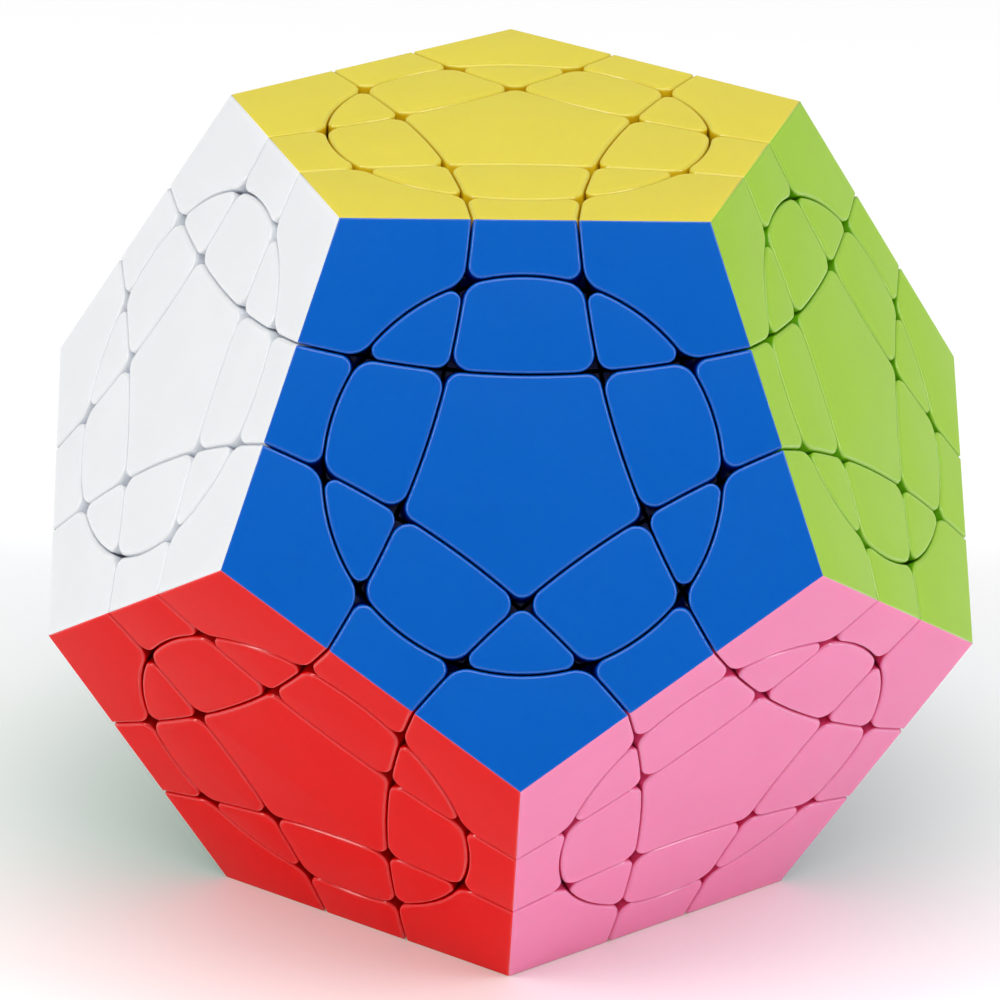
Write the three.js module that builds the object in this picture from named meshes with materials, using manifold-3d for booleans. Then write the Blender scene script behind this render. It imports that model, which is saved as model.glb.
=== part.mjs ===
// A dodecahedron twisty puzzle with a circle on each face. Millimetres, +Z up, centre of the puzzle at the origin.
//
// Twelve face layers turn about axes through the centre. A layer is a solid of revolution about its axis: everything
// above a shallow cone, less the disc in the middle of the face, which stays still while the layer turns. Each piece
// is the part of the dodecahedron that lies inside its own layers and outside all the others.
import * as THREE from "three";
import { mergeVertices } from "three/addons/utils/BufferGeometryUtils.js";
import Module from "manifold-3d";

// Driving dimensions.
const EDGE = 37; // edge of the dodecahedron
const GROOVE = 0.44; // gap between two neighbouring pieces
const SEGMENTS = 30; // facets of a turned surface: a multiple of 10 keeps every copy alike

// The dodecahedron.
const GOLDEN = (1 + Math.sqrt(5)) / 2;
const VERTEX_RADIUS = (EDGE * Math.sqrt(3) * GOLDEN) / 2;
const FACE_HEIGHT = (EDGE / 2) * Math.sqrt(2.5 + 1.1 * Math.sqrt(5));
const RING_TILT = Math.atan(2); // angle between the axes of two neighbouring faces

// The turned profile of a layer, as radius from the face's axis and height along it.
const CONE_HEIGHT = 0.336 * FACE_HEIGHT; // where the cone meets the axis
const CONE_SLOPE = 0.4177; // rise of the cone per millimetre of radius
const DISC_RADIUS = 0.482 * FACE_HEIGHT;
const TONGUE_REACH = 2.4; // how far a layer's tongue runs in under the disc
const TONGUE_TOP = FACE_HEIGHT - 5.2;
const TONGUE_BOTTOM = TONGUE_TOP - 3.6;
const LAYER_REACH = 1.2 * VERTEX_RADIUS; // beyond every corner of the puzzle

// The fixing of the top centre.
const CAP_THICKNESS = 3;
const CAP_GAP = 0.3;
const WELL_RADIUS = 4.2;
const WELL_FLOOR = 24;
const BORE_RADIUS = 1.7;
const BORE_FLOOR = 8;
const HEAD_RADIUS = 3.5;
const HEAD_HEIGHT = 2.6;
const SHANK_RADIUS = 1.35;
const SHANK_TIP = 9;
const SPRING_ROOM = 7; // space between the well's floor and the screw's head
const RIM_OVERSHOOT = 1; // a cutter runs this far past the surface that it cuts

// Score lines mark the bottom layer's joints where two pieces are made as one.
const SCORE_DEPTH = 3;

const COLOURS = {
  top: 0xdfcf50,
  front: 0x0d62c3,
  right: 0xa0ca4c,
  back_right: 0xf08a1e,
  back_left: 0x6a3fa8,
  left: 0xecedee,
  low_right: 0xf68db7,
  low_back_right: 0x8e949b,
  low_back: 0x49b8e8,
  low_back_left: 0x0f7a3c,
  low_left: 0xe40f0f,
  bottom: 0xf2e8c4,
};
const INNER_COLOUR = 0x202124;
const STEEL_COLOUR = 0xb9bcc0;

// Faces: the top, five around it from the front anticlockwise, five below them, and the bottom.
function axisAt(tilt, azimuth) {
  return new THREE.Vector3().setFromSphericalCoords(1, tilt, azimuth).applyAxisAngle(X_AXIS, Math.PI / 2);
}

const X_AXIS = new THREE.Vector3(1, 0, 0);
const UPPER_RING = ["front", "right", "back_right", "back_left", "left"];
const LOWER_RING = ["low_right", "low_back_right", "low_back", "low_back_left", "low_left"];
const STEP = (2 * Math.PI) / 5;

const faces = new Map();
faces.set("top", axisAt(0, 0));
UPPER_RING.forEach((name, i) => faces.set(name, axisAt(RING_TILT, i * STEP)));
LOWER_RING.forEach((name, i) => faces.set(name, axisAt(Math.PI - RING_TILT, (i + 0.5) * STEP)));
faces.set("bottom", axisAt(Math.PI, 0));
const faceNames = [...faces.keys()];

function touching(a, b) {
  return a !== b && faces.get(a).dot(faces.get(b)) > 0.4;
}

// A frame with z along face a's axis and y towards its neighbour b.
function frameOf(a, b) {
  const z = faces.get(a);
  const y = faces.get(b).clone().addScaledVector(z, -faces.get(b).dot(z)).normalize();
  return new THREE.Matrix4().makeBasis(new THREE.Vector3().crossVectors(y, z), y, z);
}

// Solids.
const wasm = await Module();
wasm.setup();

function solidOf(geometry) {
  geometry.deleteAttribute("normal");
  geometry.deleteAttribute("uv");
  const merged = mergeVertices(geometry, 1e-4);
  const triVerts = new Uint32Array(merged.index.array);
  const mesh = new wasm.Mesh({ numProp: 3, vertProperties: merged.attributes.position.array, triVerts });
  return new wasm.Manifold(mesh);
}

function geometryOf(solid) {
  const mesh = solid.getMesh();
  const geometry = new THREE.BufferGeometry();
  geometry.setAttribute("position", new THREE.BufferAttribute(mesh.vertProperties, mesh.numProp));
  geometry.setIndex(new THREE.BufferAttribute(mesh.triVerts, 1));
  const flat = geometry.toNonIndexed();
  flat.computeVertexNormals();
  return flat;
}

// Of the separate parts of a solid, the one that lies farthest along a direction.
function partTowards(solid, direction) {
  const reach = (part) => {
    const { min, max } = part.boundingBox();
    return direction.dot(new THREE.Vector3(...min).add(new THREE.Vector3(...max)));
  };
  return solid.decompose().reduce((best, part) => (reach(part) > reach(best) ? part : best));
}

// Turns a profile of [radius, height] pairs about face a's axis.
function turned(profile, a) {
  const points = profile.map(([radius, height]) => new THREE.Vector2(radius, height));
  const neighbour = faceNames.find((b) => touching(a, b));
  const lathe = new THREE.LatheGeometry(points, SEGMENTS).rotateX(Math.PI / 2);
  return solidOf(lathe.applyMatrix4(frameOf(a, neighbour)));
}

// The dodecahedron with its faces at the given distance from the centre.
function dodecahedron(height) {
  const geometry = new THREE.DodecahedronGeometry((height * VERTEX_RADIUS) / FACE_HEIGHT);
  const z = new THREE.Vector3(1, 0, GOLDEN).normalize();
  const towards = new THREE.Vector3(-1, 0, GOLDEN).normalize();
  const y = towards.addScaledVector(z, -towards.dot(z)).normalize();
  const own = new THREE.Matrix4().makeBasis(new THREE.Vector3().crossVectors(y, z), y, z);
  return solidOf(geometry.applyMatrix4(own.invert().premultiply(frameOf("top", "front"))));
}

// The layer that turns with face a, its outline moved outwards by the margin.
function layer(a, margin) {
  const inner = DISC_RADIUS - margin;
  const tongue = inner - TONGUE_REACH;
  const tongueTop = TONGUE_TOP + margin;
  const tongueBottom = TONGUE_BOTTOM - margin;
  const rise = margin * Math.hypot(1, CONE_SLOPE);
  const coneAt = (radius) => CONE_HEIGHT - rise + CONE_SLOPE * radius;
  const profile = [
    [inner, coneAt(inner)],
    [LAYER_REACH, coneAt(LAYER_REACH)],
    [LAYER_REACH, LAYER_REACH],
    [inner, LAYER_REACH],
    [inner, tongueTop],
    [tongue, tongueTop],
    [tongue, tongueBottom],
    [inner, tongueBottom],
    [inner, coneAt(inner)],
  ];
  return turned(profile, a);
}

const whole = dodecahedron(FACE_HEIGHT);
const insideLayer = new Map(faceNames.map((a) => [a, layer(a, -GROOVE / 2)]));
const outsideLayer = new Map(faceNames.map((a) => [a, layer(a, GROOVE / 2)]));

// Everything that turns with the named faces and with no others. The uncut faces leave no joint in it.
function region(own, uncut = []) {
  let solid = whole;
  for (const a of own) solid = solid.intersect(insideLayer.get(a));
  for (const a of faceNames) {
    if (!own.includes(a) && !uncut.includes(a)) solid = solid.subtract(outsideLayer.get(a));
  }
  return solid;
}

function middleOf(names) {
  return names.reduce((sum, a) => sum.add(faces.get(a)), new THREE.Vector3());
}

// The piece of the outer ring that turns with the named faces.
function outerPiece(own, uncut) {
  return partTowards(region(own, uncut), middleOf(own));
}

// The piece of face a's circle that turns with the named neighbours of a.
function circlePiece(own, a) {
  return partTowards(region(own), faces.get(a));
}

// A shallow cut along the joints of face a's layer.
function scoreLines(a) {
  const skin = dodecahedron(FACE_HEIGHT + RIM_OVERSHOOT).subtract(dodecahedron(FACE_HEIGHT - SCORE_DEPTH));
  return outsideLayer.get(a).subtract(insideLayer.get(a)).intersect(skin);
}

// The well and screw hole down the middle of the top centre, and the place of its cap.
function topFixingCut() {
  const capFloor = FACE_HEIGHT - CAP_THICKNESS - CAP_GAP;
  const profile = [
    [0, BORE_FLOOR],
    [BORE_RADIUS, BORE_FLOOR],
    [BORE_RADIUS, WELL_FLOOR],
    [WELL_RADIUS, WELL_FLOOR],
    [WELL_RADIUS, capFloor],
    [LAYER_REACH, capFloor],
    [LAYER_REACH, FACE_HEIGHT + RIM_OVERSHOOT],
    [0, FACE_HEIGHT + RIM_OVERSHOOT],
  ];
  return turned(profile, "top");
}

// The whole thickness of the top above the cap's underside.
function topCapZone() {
  const capBottom = FACE_HEIGHT - CAP_THICKNESS;
  const profile = [
    [0, capBottom],
    [DISC_RADIUS, capBottom],
    [DISC_RADIUS, FACE_HEIGHT + RIM_OVERSHOOT],
    [0, FACE_HEIGHT + RIM_OVERSHOOT],
  ];
  return turned(profile, "top");
}

function topScrew() {
  const headFloor = WELL_FLOOR + SPRING_ROOM;
  const profile = [
    [0, SHANK_TIP],
    [SHANK_RADIUS, SHANK_TIP + SHANK_RADIUS],
    [SHANK_RADIUS, headFloor],
    [HEAD_RADIUS, headFloor],
    [HEAD_RADIUS, headFloor + HEAD_HEIGHT],
    [0, headFloor + HEAD_HEIGHT],
  ];
  return turned(profile, "top");
}

// The scene.
const puzzle = new THREE.Group();

function place(name, geometry, colour, matrix, roughness = 0.35, metalness = 0) {
  const material = new THREE.MeshStandardMaterial({ color: colour, roughness, metalness });
  const mesh = new THREE.Mesh(geometry, material);
  mesh.name = name;
  mesh.quaternion.setFromRotationMatrix(matrix);
  puzzle.add(mesh);
}

// The turn that takes the pair top, front to the pair a, b.
function turnTo(a, b) {
  return frameOf(a, b).multiply(frameOf("top", "front").invert());
}

const unturned = new THREE.Matrix4();

// The core with its twelve centre columns, and the top column's cap and screw.
const core = region([]);
place("core_frame", geometryOf(core.subtract(topFixingCut())), INNER_COLOUR, unturned);
place("centre_cap_top", geometryOf(core.intersect(topCapZone())), COLOURS.top, unturned);
place("centre_screw_top", geometryOf(topScrew()), STEEL_COLOUR, unturned, 0.3, 0.9);

// Each turning face has five inner edges, one on each neighbour. One of the five is made here for each face.
const innerEdge = geometryOf(circlePiece(["top"], "front"));
const innerEdgePlaces = [
  ["top", "front"],
  ...UPPER_RING.map((a) => [a, "top"]),
  ...LOWER_RING.map((a) => [a, "bottom"]),
];
for (const [a, b] of innerEdgePlaces) place(`inner_edge_${a}_on_${b}`, innerEdge, COLOURS[b], turnTo(a, b));

// One of the sixty petals, between the inner edges of the top's circle.
const petal = geometryOf(circlePiece(["front", "right"], "top"));
place("petal_front_right_on_top", petal, COLOURS.top, unturned);

// Every pair of neighbouring faces, once, in the order of the face list.
const pairs = faceNames.flatMap((a, i) => faceNames.slice(i + 1).filter((b) => touching(a, b)).map((b) => [a, b]));

// The outer edges. Where two lower faces meet, the edge and the bottom corner below it are one piece.
const edge = geometryOf(outerPiece(["top", "front"]));
const bottomJoints = scoreLines("bottom");
for (const [a, b] of pairs) {
  const meetsBottom = b !== "bottom" && touching(a, "bottom") && touching(b, "bottom");
  if (meetsBottom) {
    const joined = outerPiece([a, b], ["bottom"]).subtract(bottomJoints);
    place(`edge_${a}_${b}_with_corner`, geometryOf(joined), COLOURS[a], unturned);
  } else {
    place(`edge_${a}_${b}`, edge, COLOURS[a], turnTo(a, b));
  }
}

// The face that follows b anticlockwise around a.
function nextAround(a, b) {
  const side = new THREE.Vector3().crossVectors(faces.get(a), faces.get(b));
  return faceNames.find((c) => touching(a, c) && touching(b, c) && faces.get(c).dot(side) > 0);
}

// The outer corners, other than the five that are part of the pieces above.
const corner = geometryOf(outerPiece(["top", "front", "right"]));
for (const [a, b] of pairs) {
  const c = nextAround(a, b);
  const startsHere = faceNames.indexOf(c) > faceNames.indexOf(a);
  const inBottomLayer = b === "bottom" || c === "bottom";
  if (startsHere && !inBottomLayer) place(`corner_${a}_${b}_${c}`, corner, COLOURS[a], turnTo(a, b));
}

export default puzzle;
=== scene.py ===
"""The looks of a dodecahedron twisty puzzle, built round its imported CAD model.

Each physical piece is one object: coloured shells on the faces that it shows, and the dark stem under them,
which is the CAD solid cut off where the shells begin. Metres, in the CAD model's frame.
"""

import math

import bmesh
import bpy
from mathutils import Matrix, Vector


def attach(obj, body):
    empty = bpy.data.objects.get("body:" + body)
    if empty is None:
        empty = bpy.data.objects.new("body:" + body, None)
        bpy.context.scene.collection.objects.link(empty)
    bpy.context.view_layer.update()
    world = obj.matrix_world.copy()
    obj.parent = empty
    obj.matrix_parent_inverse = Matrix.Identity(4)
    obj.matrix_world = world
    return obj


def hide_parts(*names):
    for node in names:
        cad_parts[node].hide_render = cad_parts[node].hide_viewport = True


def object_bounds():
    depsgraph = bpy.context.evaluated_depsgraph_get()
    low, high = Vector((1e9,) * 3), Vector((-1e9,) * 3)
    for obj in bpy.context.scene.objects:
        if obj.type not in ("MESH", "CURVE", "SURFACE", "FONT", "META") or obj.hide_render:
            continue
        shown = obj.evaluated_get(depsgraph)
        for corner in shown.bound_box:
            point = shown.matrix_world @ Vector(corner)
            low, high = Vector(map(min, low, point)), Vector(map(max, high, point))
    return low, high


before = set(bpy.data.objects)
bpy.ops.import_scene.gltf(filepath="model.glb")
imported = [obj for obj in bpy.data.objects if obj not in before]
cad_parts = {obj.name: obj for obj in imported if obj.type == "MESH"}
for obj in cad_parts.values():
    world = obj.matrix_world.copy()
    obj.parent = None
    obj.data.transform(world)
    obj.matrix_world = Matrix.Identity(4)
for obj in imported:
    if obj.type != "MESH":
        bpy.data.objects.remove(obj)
cad_low, cad_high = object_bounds()

# Proportions of the puzzle, from the height of a face above the centre.
FACE_HEIGHT = cad_high.z
RING_TILT = math.atan(2)
HALF_TILT = RING_TILT / 2
FACE_INRADIUS = FACE_HEIGHT * math.tan(HALF_TILT)
CONE_HEIGHT = 0.336 * FACE_HEIGHT
CONE_SLOPE = 0.4177
DISC_RADIUS = 0.482 * FACE_HEIGHT

# The shells of the tiles, with the radii of their corners, which lie within the circle, on it or outside it.
GROOVE = 0.0002
FILLET = 0.0003
CENTRE_CORNER = 0.0015
INNER_EDGE_CORNER_WITHIN = 0.0018
INNER_EDGE_CORNER_ON_CIRCLE = 0.0023
PETAL_CORNER_WITHIN = 0.0015
PETAL_CORNER_ON_CIRCLE = 0.001
EDGE_CORNER = 0.0013
OUTER_CORNER = 0.0027
SHARP = 0.0
SHELL_DEPTH = 0.0042
STEM_GAP = 0.00003
ARC_STEPS = 7
FILLET_SLOPES = (0, HALF_TILT / 2, HALF_TILT, math.radians(60), math.pi / 2)
CREASE = math.radians(40)
WELD = 1e-6

# Where the boundaries of a face cross, roughly, with turns in fifths of a turn. Each crossing is then solved.
CIRCLE_CUT_TURN = 18.8 / 72
RIM_CUT_TURN = 11.3 / 72
CUTS_CROSS = 0.3 * FACE_HEIGHT
RIM_CUT = 0.63 * FACE_HEIGHT
FACE_CORNER = FACE_INRADIUS / math.cos(math.pi / 5)
SOLVER_ROUNDS = 12
SOLVER_STEP = 1e-7

# The spring under the top screw's head.
SPRING_BOTTOM = 0.0242
SPRING_TOP = 0.0308
SPRING_RADIUS = 0.00255
SPRING_TURNS = 5
STEPS_PER_TURN = 24
WIRE_RADIUS = 0.00035
WIRE_SIDES = 8

# The camera, moved aside and up from its line to the core. Azimuth 0 is the front, and +90 degrees is +X.
CAMERA_AZIMUTH = math.radians(-1.863)
CAMERA_ELEVATION = math.radians(24.086)
CAMERA_ROLL = math.radians(1.301)
CAMERA_DISTANCE = 0.6104
CAMERA_ASIDE = -0.001057
CAMERA_UP = -0.000704
CAMERA_LENS = 206.45
SENSOR = 36

# The studio. Softboxes: azimuth, elevation, distance, width, height and radiance.
SOFTBOXES = {
    "left_strip": (math.radians(-68), math.radians(24), 1.0, 0.16, 0.9, 9),
    "right_strip": (math.radians(68), math.radians(24), 1.0, 0.16, 0.9, 8),
    "overhead": (0, math.radians(74), 1.8, 2.0, 2.0, 1.9),
}
SURROUNDINGS = 0.4
LIGHT_BOUNCES = 8
FLOOR_HALF = 3.0
FLOOR_GAP = 0.00005
FLOOR_WHITE = 0.95
FLOOR_ROUGHNESS = 0.9

# Colours of the faces, as linear RGB.
COLOURS = {
    "top": (0.66, 0.56, 0.06),
    "front": (0.0, 0.107, 0.47),
    "right": (0.29, 0.49, 0.04),
    "back_right": (0.8, 0.21, 0.01),
    "back_left": (0.13, 0.045, 0.36),
    "left": (0.68, 0.69, 0.705),
    "low_right": (0.79, 0.235, 0.42),
    "low_back_right": (0.21, 0.23, 0.25),
    "low_back": (0.055, 0.42, 0.72),
    "low_back_left": (0.005, 0.17, 0.04),
    "low_left": (0.66, 0.0, 0.0),
    "bottom": (0.79, 0.71, 0.48),
}
INNER_COLOUR = (0.012, 0.012, 0.013)
STEEL_COLOUR = (0.55, 0.56, 0.58)

# The plastics: how far colour and roughness stray from their middles, and how light goes into the tiles.
MOTTLE = 0.035
GLOSS_SPREAD = 0.04
TRANSLUCENCY = 0.7
LIGHT_DEPTH = 0.0015
LEAST_DEPTH_SHARE = 0.1

# How strong the painted groove shade leaves a colour, from one that swallows all light up to a pale one,
# which is painted a touch lighter in the grooves.
PAINTED_GROOVE_STRENGTH_LEAST = 0.5
PAINTED_GROOVE_STRENGTH_MOST = 1.15

UPPER_RING = ["front", "right", "back_right", "back_left", "left"]
LOWER_RING = ["low_right", "low_back_right", "low_back", "low_back_left", "low_left"]
STEP = math.tau / 5
FRONT_AZIMUTH = -math.pi / 2


# The twelve faces.
def axis_at(tilt, azimuth):
    flat = math.sin(tilt)
    return Vector((flat * math.cos(azimuth), flat * math.sin(azimuth), math.cos(tilt)))


def face_axes():
    axes = {"top": axis_at(0, 0)}
    for i, name in enumerate(UPPER_RING):
        axes[name] = axis_at(RING_TILT, FRONT_AZIMUTH + i * STEP)
    for i, name in enumerate(LOWER_RING):
        axes[name] = axis_at(math.pi - RING_TILT, FRONT_AZIMUTH + (i + 0.5) * STEP)
    axes["bottom"] = axis_at(math.pi, 0)
    return axes


AXES = face_axes()
FACES = list(AXES)


def touching(a, b):
    return a != b and AXES[a].dot(AXES[b]) > 0


def next_around(a, b):
    """The face that follows b anticlockwise around a."""
    side = AXES[a].cross(AXES[b])
    return next(c for c in FACES if touching(a, c) and touching(b, c) and AXES[c].dot(side) > 0)


def neighbours(a):
    """The five neighbours of a, anticlockwise from the first in the list of faces."""
    ring = [next(b for b in FACES if touching(a, b))]
    while len(ring) < 5:
        ring.append(next_around(a, ring[-1]))
    return ring


def basis(a, b):
    """A turn whose z is face a's axis and whose y points towards its neighbour b."""
    z = AXES[a]
    y = (AXES[b] - z * AXES[b].dot(z)).normalized()
    return Matrix((y.cross(z), y, z)).transposed()


# Outlines of the tiles on one face: y points towards neighbour 0, and neighbour k is k fifths of a turn on.
def turned(x, y, k):
    c, s = math.cos(k * STEP), math.sin(k * STEP)
    return Vector((c * x - s * y, s * x + c * y))


def cone_cut(across, height):
    """How far the cut by neighbour 0's layer is from the face's middle at that height, and its slope."""
    c, s = math.cos(RING_TILT), math.sin(RING_TILT)
    rise = CONE_SLOPE**2
    start = c * height - CONE_HEIGHT
    square = s**2 * (1 + rise) - rise
    linear = 2 * s * (start + rise * c * height)
    constant = start**2 + rise * ((c * height) ** 2 - height**2 - across**2)
    away = (-linear + math.sqrt(linear**2 - 4 * square * constant)) / (2 * square)
    return away, 2 * rise * across / (2 * square * away + linear)


def on_boundary(line, t, height):
    """The point at t on a boundary line, and the line's direction away from the face's middle."""
    shape, k = line
    if shape == "circle":
        outward = Vector((math.cos(t), math.sin(t)))
        return outward * DISC_RADIUS, outward
    if shape == "rim":
        return turned(t, FACE_INRADIUS, k), turned(0, 1, k)
    away, slope = cone_cut(t, height)
    return turned(t, away, k), turned(-slope, 1, k).normalized()


def place_on(line, point):
    """The value of t for which a boundary line passes near the point."""
    shape, k = line
    if shape == "circle":
        return math.atan2(point.y, point.x)
    return turned(point.x, point.y, -k).x


class Boundary:
    """One side of a tile: a line moved into the tile by a margin."""

    def __init__(self, line, side, height, margin):
        self.line = line
        self.side = side
        self.height = height
        self.margin = margin

    def at(self, t, more=0.0):
        point, outward = on_boundary(self.line, t, self.height)
        return point + outward * (self.side * (self.margin + more))

    def inward(self, t):
        return on_boundary(self.line, t, self.height)[1] * self.side


def crossing(first, second, guess, more):
    """Where two boundaries, each moved in by more, cross near a guess: the value of t on each."""
    t = Vector((place_on(first.line, guess), place_on(second.line, guess)))
    step = SOLVER_STEP
    for _ in range(SOLVER_ROUNDS):
        miss = first.at(t.x, more) - second.at(t.y, more)
        along = (first.at(t.x + step, more) - first.at(t.x - step, more)) / (2 * step)
        back = (second.at(t.y - step, more) - second.at(t.y + step, more)) / (2 * step)
        scale = along.x * back.y - along.y * back.x
        t.x -= (miss.x * back.y - miss.y * back.x) / scale
        t.y -= (along.x * miss.y - along.y * miss.x) / scale
    return t


def polar(radius, turn):
    """A point at that radius, turned from neighbour 0's direction by so many fifths of a turn."""
    return turned(0, radius, turn)


INWARDS = -1
OUTWARDS = 1


def tile_sides(kind):
    """A tile's sides, anticlockwise: line, way in, steps, rough place and radius of the corner after it."""
    if kind == "centre":
        return [(("cone", k), INWARDS, 10, polar(CUTS_CROSS, k + 0.5), CENTRE_CORNER) for k in range(5)]
    if kind == "inner_edge":
        return [
            (("circle", 0), INWARDS, 14, polar(DISC_RADIUS, CIRCLE_CUT_TURN), INNER_EDGE_CORNER_ON_CIRCLE),
            (("cone", 1), INWARDS, 6, polar(CUTS_CROSS, 0.5), INNER_EDGE_CORNER_WITHIN),
            (("cone", 0), OUTWARDS, 10, polar(CUTS_CROSS, -0.5), INNER_EDGE_CORNER_WITHIN),
            (("cone", -1), INWARDS, 6, polar(DISC_RADIUS, -CIRCLE_CUT_TURN), INNER_EDGE_CORNER_ON_CIRCLE),
        ]
    if kind == "petal":
        return [
            (("circle", 0), INWARDS, 12, polar(DISC_RADIUS, 1 - CIRCLE_CUT_TURN), PETAL_CORNER_ON_CIRCLE),
            (("cone", 0), OUTWARDS, 8, polar(CUTS_CROSS, 0.5), PETAL_CORNER_WITHIN),
            (("cone", 1), OUTWARDS, 8, polar(DISC_RADIUS, CIRCLE_CUT_TURN), PETAL_CORNER_ON_CIRCLE),
        ]
    if kind == "edge":
        return [
            (("rim", 0), INWARDS, 1, polar(RIM_CUT, RIM_CUT_TURN), SHARP),
            (("cone", 1), INWARDS, 6, polar(DISC_RADIUS, CIRCLE_CUT_TURN), EDGE_CORNER),
            (("circle", 0), OUTWARDS, 14, polar(DISC_RADIUS, -CIRCLE_CUT_TURN), EDGE_CORNER),
            (("cone", -1), INWARDS, 6, polar(RIM_CUT, -RIM_CUT_TURN), SHARP),
        ]
    return [
        (("rim", 0), INWARDS, 1, polar(FACE_CORNER, 0.5), SHARP),
        (("rim", 1), INWARDS, 1, polar(RIM_CUT, 1 - RIM_CUT_TURN), SHARP),
        (("cone", 0), OUTWARDS, 6, polar(DISC_RADIUS, 1 - CIRCLE_CUT_TURN), OUTER_CORNER),
        (("circle", 0), OUTWARDS, 12, polar(DISC_RADIUS, CIRCLE_CUT_TURN), OUTER_CORNER),
        (("cone", 1), OUTWARDS, 6, polar(RIM_CUT, RIM_CUT_TURN), SHARP),
    ]


def corner_arc(first, second, crossed, radius):
    """The points between the ends of a rounded corner."""
    centre = first.at(crossed.x, radius)
    start = -first.inward(crossed.x)
    stop = -second.inward(crossed.y)
    angle = math.atan2(start.y, start.x)
    sweep = (math.atan2(stop.y, stop.x) - angle) % math.tau
    arc = []
    for j in range(1, ARC_STEPS):
        a = angle + sweep * j / ARC_STEPS
        arc.append(centre + Vector((math.cos(a), math.sin(a))) * radius)
    return arc


def outline(kind, depth, groove_inset, rim_inset):
    """The tile's outline at a depth below its face, and whether each stretch of it is on a rim."""
    sides = tile_sides(kind)
    height = FACE_HEIGHT - depth
    bounds = []
    for line, side, _, _, _ in sides:
        margin = rim_inset if line[0] == "rim" else GROOVE / 2 + groove_inset
        bounds.append(Boundary(line, side, height, margin))
    radii = [radius - groove_inset if radius else SHARP for *_, radius in sides]
    corners = []
    for i, (*_, guess, _) in enumerate(sides):
        corners.append(crossing(bounds[i], bounds[(i + 1) % len(sides)], guess, radii[i]))
    points = []
    on_rim = []
    for i, (line, _, steps, _, _) in enumerate(sides):
        begin = corners[i - 1].y
        end = corners[i].x
        if line[0] == "circle":
            end = begin + math.remainder(end - begin, math.tau)
        for j in range(steps + 1 if radii[i] else steps):
            points.append(bounds[i].at(begin + (end - begin) * j / steps))
            on_rim.append(line[0] == "rim")
        if radii[i]:
            points += corner_arc(bounds[i], bounds[(i + 1) % len(sides)], corners[i], radii[i])
            on_rim += [False] * (ARC_STEPS - 1)
    return points, on_rim


def shell_levels(kind):
    """Outlines of a shell from its top face, round its fillet and down to its underside."""
    levels = []
    for slope in FILLET_SLOPES:
        depth = FILLET * (1 - math.cos(slope))
        rim_inset = depth * math.tan(HALF_TILT)
        if slope < HALF_TILT:
            rim_inset = FILLET * (math.tan(HALF_TILT) - math.sin(slope))
        points, on_rim = outline(kind, depth, FILLET * (1 - math.sin(slope)), rim_inset)
        levels.append((depth, points, on_rim, slope < HALF_TILT))
    points, on_rim = outline(kind, SHELL_DEPTH, 0.0, SHELL_DEPTH * math.tan(HALF_TILT))
    levels.append((SHELL_DEPTH, points, on_rim, False))
    return levels


LEVELS = {kind: shell_levels(kind) for kind in ("centre", "inner_edge", "petal", "edge", "corner")}


def index_in(palette, material):
    """A material's place in a piece's palette, which it joins at its first use."""
    if material not in palette:
        palette.append(material)
    return palette.index(material)


def add_shell(bm, kind, face, neighbour, palette):
    """Adds a tile's shell. At a rim it stays open below the fillet, where the next face's shell joins it."""
    turn = basis(face, neighbour)
    rings = []
    for depth, points, _, _ in LEVELS[kind]:
        height = FACE_HEIGHT - depth
        rings.append([bm.verts.new(turn @ Vector((p.x, p.y, height))) for p in points])
    top = bm.faces.new(rings[0])
    underside = bm.faces.new(reversed(rings[-1]))
    top.material_index = index_in(palette, TOP_PLASTIC[face])
    edge_index = index_in(palette, EDGE_PLASTIC[face])
    painted_shade_index = index_in(palette, SIDE_PLASTIC_PAINTED_SHADE[face])
    # The walls and the underside take the side plastic, whose colour is painted groove shade.
    underside.material_index = painted_shade_index
    side_level = len(rings) - 2
    for level, (_, _, on_rim, above_mitre) in enumerate(LEVELS[kind][:-1]):
        upper, lower = rings[level], rings[level + 1]
        for i, rim in enumerate(on_rim):
            if rim and not above_mitre:
                continue
            j = (i + 1) % len(upper)
            quad = bm.faces.new((upper[i], lower[i], lower[j], upper[j]))
            quad.smooth = True
            quad.material_index = painted_shade_index if level == side_level else edge_index


def filled_cut(stem, rim, round_well):
    """Fills a cut through a stem. Only the cut round the screw's well has a hole that stays open."""
    if round_well:
        filled = bmesh.ops.triangle_fill(stem, edges=rim, use_beauty=True, use_dissolve=False)
        return [element for element in filled["geom"] if isinstance(element, bmesh.types.BMFace)]
    return bmesh.ops.holes_fill(stem, edges=rim, sides=0)["faces"]


def add_stem(bm, source, turn, palette):
    """Adds a CAD solid, turned into place and cut off below the shells, where its cut faces take the colours
    of the shells' sides, with their painted groove shade.
    """
    stem = bmesh.new()
    stem.from_mesh(source.data)
    bmesh.ops.remove_doubles(stem, verts=stem.verts, dist=WELD)
    stem.transform(turn.to_4x4())
    dark = index_in(palette, INNER_PLASTIC)
    for stem_face in stem.faces:
        stem_face.material_index = dark
        stem_face.smooth = False
    for face, axis in AXES.items():
        whole = stem.verts[:] + stem.edges[:] + stem.faces[:]
        plane = axis * (FACE_HEIGHT - SHELL_DEPTH - STEM_GAP)
        cut = bmesh.ops.bisect_plane(
            stem, geom=whole, dist=WELD, plane_co=plane, plane_no=axis, clear_outer=True
        )
        rim = [element for element in cut["geom_cut"] if isinstance(element, bmesh.types.BMEdge)]
        if rim:
            round_well = source.name == "core_frame" and face == "top"
            # The cut faces take the side plastic, whose colour is painted groove shade.
            coloured = index_in(palette, SIDE_PLASTIC_PAINTED_SHADE[face])
            for cap in filled_cut(stem, rim, round_well):
                cap.material_index = coloured
    bmesh.ops.recalc_face_normals(stem, faces=stem.faces[:])
    mesh = bpy.data.meshes.new("stem")
    stem.to_mesh(mesh)
    stem.free()
    bm.from_mesh(mesh)
    bpy.data.meshes.remove(mesh)


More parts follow.
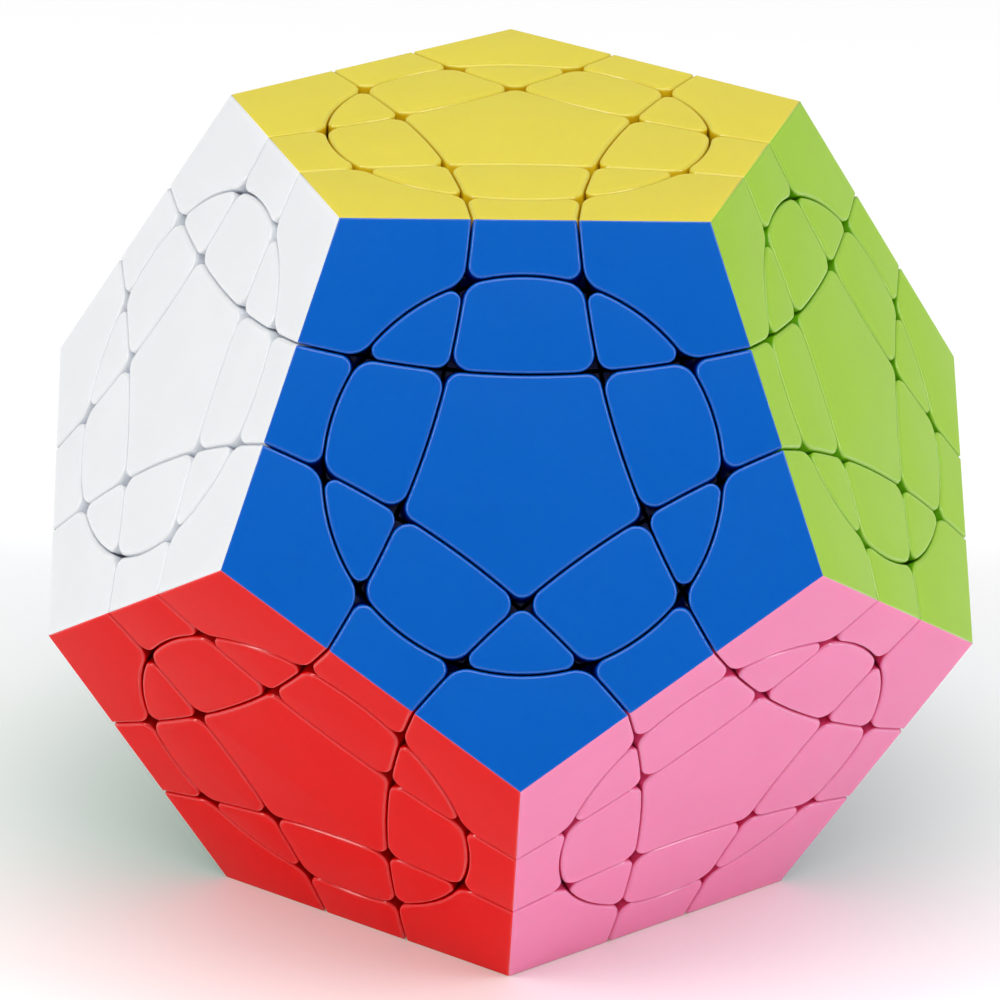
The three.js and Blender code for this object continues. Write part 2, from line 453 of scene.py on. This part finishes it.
# Materials.
def noise(material, scale, detail, distortion=0.0):
    """A noise texture that stays with the piece."""
    nodes, links = material.node_tree.nodes, material.node_tree.links
    where = nodes.new("ShaderNodeTexCoord")
    texture = nodes.new("ShaderNodeTexNoise")
    texture.inputs["Scale"].default_value = scale
    texture.inputs["Detail"].default_value = detail
    texture.inputs["Distortion"].default_value = distortion
    links.new(where.outputs["Object"], texture.inputs["Vector"])
    return texture


def bump(material, texture, strength, distance):
    nodes, links = material.node_tree.nodes, material.node_tree.links
    relief = nodes.new("ShaderNodeBump")
    relief.inputs["Strength"].default_value = strength
    relief.inputs["Distance"].default_value = distance
    links.new(texture.outputs["Fac"], relief.inputs["Height"])
    return relief


def plastic(name, colour, roughness, specular, translucency):
    """Moulded plastic with a faint mottle, flow marks in its gloss, a fine skin and a little depth."""
    material = bpy.data.materials.new(name)
    material.use_nodes = True
    nodes, links = material.node_tree.nodes, material.node_tree.links
    shader = nodes["Principled BSDF"]
    shader.inputs["Specular IOR Level"].default_value = specular
    shader.inputs["Subsurface Weight"].default_value = translucency
    shader.inputs["Subsurface Radius"].default_value = [LEAST_DEPTH_SHARE + c for c in colour]
    shader.inputs["Subsurface Scale"].default_value = LIGHT_DEPTH

    cloud = noise(material, scale=140, detail=5)
    tint = nodes.new("ShaderNodeMix")
    tint.data_type = "RGBA"
    tint.inputs["A"].default_value = (*[c * (1 - MOTTLE) for c in colour], 1)
    tint.inputs["B"].default_value = (*[c * (1 + MOTTLE) for c in colour], 1)
    links.new(cloud.outputs["Fac"], tint.inputs["Factor"])
    links.new(tint.outputs["Result"], shader.inputs["Base Color"])

    flow = noise(material, scale=55, detail=3, distortion=1.2)
    gloss = nodes.new("ShaderNodeMapRange")
    gloss.inputs["To Min"].default_value = roughness - GLOSS_SPREAD
    gloss.inputs["To Max"].default_value = roughness + GLOSS_SPREAD
    links.new(flow.outputs["Fac"], gloss.inputs["Value"])
    links.new(gloss.outputs["Result"], shader.inputs["Roughness"])

    fine = bump(material, noise(material, scale=1800, detail=3), strength=0.12, distance=0.00002)
    wave = bump(material, flow, strength=0.2, distance=0.00012)
    links.new(fine.outputs["Normal"], wave.inputs["Normal"])
    links.new(wave.outputs["Normal"], shader.inputs["Normal"])
    return material


def steel(name):
    """Plated screw steel with fine turning marks."""
    material = bpy.data.materials.new(name)
    material.use_nodes = True
    nodes, links = material.node_tree.nodes, material.node_tree.links
    shader = nodes["Principled BSDF"]
    shader.inputs["Metallic"].default_value = 1
    shader.inputs["Base Color"].default_value = (*STEEL_COLOUR, 1)
    marks = nodes.new("ShaderNodeTexNoise")
    marks.inputs["Scale"].default_value = 900
    gloss = nodes.new("ShaderNodeMapRange")
    gloss.inputs["To Min"].default_value = 0.22
    gloss.inputs["To Max"].default_value = 0.4
    links.new(marks.outputs["Fac"], gloss.inputs["Value"])
    links.new(gloss.outputs["Result"], shader.inputs["Roughness"])
    return material


def painted_groove_shade(colour):
    """A plastic's colour down in the grooves, as painted shade and painted glow: purer, darker the more the
    colour swallows light, and a touch lighter for a pale one.
    """
    strongest = max(colour)
    brightness = 0.2126 * colour[0] + 0.7152 * colour[1] + 0.0722 * colour[2]
    strength = strongest * min(PAINTED_GROOVE_STRENGTH_MOST, PAINTED_GROOVE_STRENGTH_LEAST + brightness)
    return [strength * (c / strongest) ** 2 for c in colour]


def tile_plastics(place, roughness, specular, shade=tuple):
    """The plastic of each face's colour at one place on its tiles."""
    found = {}
    for name, colour in COLOURS.items():
        found[name] = plastic(f"{name}_{place}", shade(colour), roughness, specular, TRANSLUCENCY)
    return found


# The tops of the tiles are satin, their edges are smoother and shine, and their sides carry painted groove
# shade, deeper in colour.
TOP_PLASTIC = tile_plastics("top", roughness=0.34, specular=0.1)
EDGE_PLASTIC = tile_plastics("edge", roughness=0.16, specular=0.6)
SIDE_PLASTIC_PAINTED_SHADE = tile_plastics("side", roughness=0.3, specular=0.4, shade=painted_groove_shade)
INNER_PLASTIC = plastic("inner_plastic", INNER_COLOUR, roughness=0.5, specular=0.4, translucency=0)
STEEL = steel("screw_steel")


# Pieces.
def body_of(own):
    """The CAD body of a piece that turns with these faces. The bottom layer stays with the core."""
    turning = [a for a in FACES if a in own and a != "bottom"]
    if not turning:
        return "core"
    if len(turning) == 1:
        return "layer_" + turning[0]
    if len(turning) == 2:
        return "edge_" + "_".join(turning)
    first, second, third = turning
    if next_around(first, second) != third:
        second, third = third, second
    return f"corner_{first}_{second}_{third}"


def make_piece(name, body, tiles, stem=None):
    """A piece from its tiles, each (kind, face, neighbour), and its stem, if any, as (CAD node, turn)."""
    palette = []
    bm = bmesh.new()
    for kind, face, neighbour in tiles:
        add_shell(bm, kind, face, neighbour, palette)
    bmesh.ops.remove_doubles(bm, verts=bm.verts, dist=WELD)
    if stem:
        add_stem(bm, *stem, palette)
    mesh = bpy.data.meshes.new(name)
    bm.to_mesh(mesh)
    bm.free()
    for material in palette:
        mesh.materials.append(material)
    mesh.set_sharp_from_angle(angle=CREASE)
    piece = bpy.data.objects.new(name, mesh)
    bpy.context.scene.collection.objects.link(piece)
    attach(piece, body)
    return piece


def turn_between(from_pair, to_pair):
    """The turn that takes one face and its neighbour to another face and neighbour."""
    return basis(*to_pair) @ basis(*from_pair).transposed()


def node(name):
    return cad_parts[name]


def stand_for(piece, *names):
    """Hides the CAD nodes that the piece replaces, out of the names that the CAD model has."""
    real = [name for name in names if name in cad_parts]
    if real:
        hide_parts(*real)


UNTURNED = Matrix.Identity(3)
PAIRS = [(a, b) for i, a in enumerate(FACES) for b in FACES[i + 1 :] if touching(a, b)]


def make_core():
    """The core with its twelve columns, all under the centre caps."""
    core = make_piece("core_frame_visual", "core", [], (node("core_frame"), UNTURNED))
    stand_for(core, "core_frame")


def make_centres():
    for a in FACES:
        cap = make_piece(f"centre_cap_{a}_visual", "core", [("centre", a, neighbours(a)[0])])
        stand_for(cap, f"centre_cap_{a}")


def make_inner_edges():
    """The inner edge on each face by each of its neighbours, which turns with that neighbour."""
    source = node("inner_edge_top_on_front")
    for b in FACES:
        for a in neighbours(b):
            turn = turn_between(("top", "front"), (a, b))
            name = f"inner_edge_{a}_on_{b}"
            piece = make_piece(name + "_visual", body_of([a]), [("inner_edge", b, a)], (source, turn))
            stand_for(piece, name)


def make_petals():
    """The petal on each face between two of its neighbours, which turns with both."""
    source = node("petal_front_right_on_top")
    for b in FACES:
        for p in neighbours(b):
            q = next_around(b, p)
            turn = turn_between(("top", "front"), (b, p))
            name = f"petal_{p}_{q}_on_{b}"
            piece = make_piece(name + "_visual", body_of([p, q]), [("petal", b, p)], (source, turn))
            stand_for(piece, name)


def make_edges():
    """The outer edges. An edge whose CAD solid takes in a bottom corner has that corner's stem as well."""
    for a, b in PAIRS:
        name = f"edge_{a}_{b}"
        joined = name + "_with_corner"
        source = node(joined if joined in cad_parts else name)
        tiles = [("edge", a, b), ("edge", b, a)]
        piece = make_piece(name + "_visual", body_of([a, b]), tiles, (source, UNTURNED))
        stand_for(piece, name, joined)


def make_corners():
    """The outer corners, each found once, from whichever of its faces comes first in the list."""
    for a, b in PAIRS:
        c = next_around(a, b)
        if FACES.index(c) < FACES.index(a):
            continue
        name = f"corner_{a}_{b}_{c}"
        tiles = [("corner", a, b), ("corner", b, c), ("corner", c, a)]
        stem = (node(name), UNTURNED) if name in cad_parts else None
        piece = make_piece(name + "_visual", body_of([a, b, c]), tiles, stem)
        stand_for(piece, name)


def finish_screw():
    screw = node("centre_screw_top")
    screw.data.materials.clear()
    screw.data.materials.append(STEEL)


def make_spring():
    """The spring that draws the top column in, between its floor and the screw's head."""
    steps = STEPS_PER_TURN * SPRING_TURNS
    rise = (SPRING_TOP - SPRING_BOTTOM - 2 * WIRE_RADIUS) / steps
    bm = bmesh.new()
    rings = []
    for i in range(steps + 1):
        turn = Matrix.Rotation(math.tau * i / STEPS_PER_TURN, 3, "Z")
        middle = Vector((SPRING_RADIUS, 0, SPRING_BOTTOM + WIRE_RADIUS + rise * i))
        ring = []
        for j in range(WIRE_SIDES):
            angle = math.tau * j / WIRE_SIDES
            out = Vector((math.cos(angle), 0, math.sin(angle))) * WIRE_RADIUS
            ring.append(bm.verts.new(turn @ (middle + out)))
        rings.append(ring)
    for lower, upper in zip(rings, rings[1:]):
        for j in range(WIRE_SIDES):
            k = (j + 1) % WIRE_SIDES
            bm.faces.new((lower[j], lower[k], upper[k], upper[j])).smooth = True
    bm.faces.new(rings[0])
    bm.faces.new(reversed(rings[-1]))
    bmesh.ops.recalc_face_normals(bm, faces=bm.faces[:])
    mesh = bpy.data.meshes.new("centre_spring_top_visual")
    bm.to_mesh(mesh)
    bm.free()
    mesh.materials.append(STEEL)
    spring = bpy.data.objects.new("centre_spring_top_visual", mesh)
    bpy.context.scene.collection.objects.link(spring)
    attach(spring, "core")


# The studio.
def towards(azimuth, elevation):
    """A direction from the puzzle. Azimuth 0 is the front, and +90 degrees is +X."""
    flat = math.cos(elevation)
    return Vector((math.sin(azimuth) * flat, -math.cos(azimuth) * flat, math.sin(elevation)))


def facing_back(direction):
    """The turn of a camera or lamp that looks from that direction at the puzzle."""
    return direction.to_track_quat("Z", "Y").to_matrix()


def make_camera():
    data = bpy.data.cameras.new("camera")
    data.sensor_width = SENSOR
    data.lens = CAMERA_LENS
    camera = bpy.data.objects.new("camera", data)
    back = towards(CAMERA_AZIMUTH, CAMERA_ELEVATION)
    look = facing_back(back) @ Matrix.Rotation(CAMERA_ROLL, 3, "Z")
    camera.matrix_world = look.to_4x4()
    camera.location = back * CAMERA_DISTANCE + look @ Vector((CAMERA_ASIDE, CAMERA_UP, 0))
    bpy.context.scene.collection.objects.link(camera)
    bpy.context.scene.camera = camera


def make_floor():
    """The floor, a hair below the bottom face so that the two don't share a plane."""
    mesh = bpy.data.meshes.new("floor")
    signs = [(-1, -1), (1, -1), (1, 1), (-1, 1)]
    corners = [(x * FLOOR_HALF, y * FLOOR_HALF, -FACE_HEIGHT - FLOOR_GAP) for x, y in signs]
    mesh.from_pydata(corners, [], [(0, 1, 2, 3)])
    floor = bpy.data.objects.new("floor", mesh)
    material = bpy.data.materials.new("floor")
    material.use_nodes = True
    shader = material.node_tree.nodes["Principled BSDF"]
    shader.inputs["Base Color"].default_value = (FLOOR_WHITE, FLOOR_WHITE, FLOOR_WHITE, 1)
    shader.inputs["Roughness"].default_value = FLOOR_ROUGHNESS
    mesh.materials.append(material)
    bpy.context.scene.collection.objects.link(floor)


def make_softbox(name, azimuth, elevation, distance, width, height, radiance):
    """A rectangular lamp that faces the puzzle."""
    data = bpy.data.lights.new(name, "AREA")
    data.shape = "RECTANGLE"
    data.size = width
    data.size_y = height
    data.energy = math.pi * width * height * radiance
    lamp = bpy.data.objects.new(name, data)
    back = towards(azimuth, elevation)
    lamp.matrix_world = facing_back(back).to_4x4()
    lamp.location = back * distance
    bpy.context.scene.collection.objects.link(lamp)


def make_world():
    world = bpy.data.worlds.new("studio")
    world.use_nodes = True
    background = world.node_tree.nodes["Background"]
    background.inputs["Color"].default_value = (1, 1, 1, 1)
    background.inputs["Strength"].default_value = SURROUNDINGS
    bpy.context.scene.world = world
    bpy.context.scene.view_settings.view_transform = "Standard"
    bpy.context.scene.cycles.diffuse_bounces = LIGHT_BOUNCES


def make_studio():
    make_floor()
    for name, setting in SOFTBOXES.items():
        make_softbox(name, *setting)
    make_world()
    make_camera()


make_core()
make_centres()
make_inner_edges()
make_petals()
make_edges()
make_corners()
finish_screw()
make_spring()
make_studio()
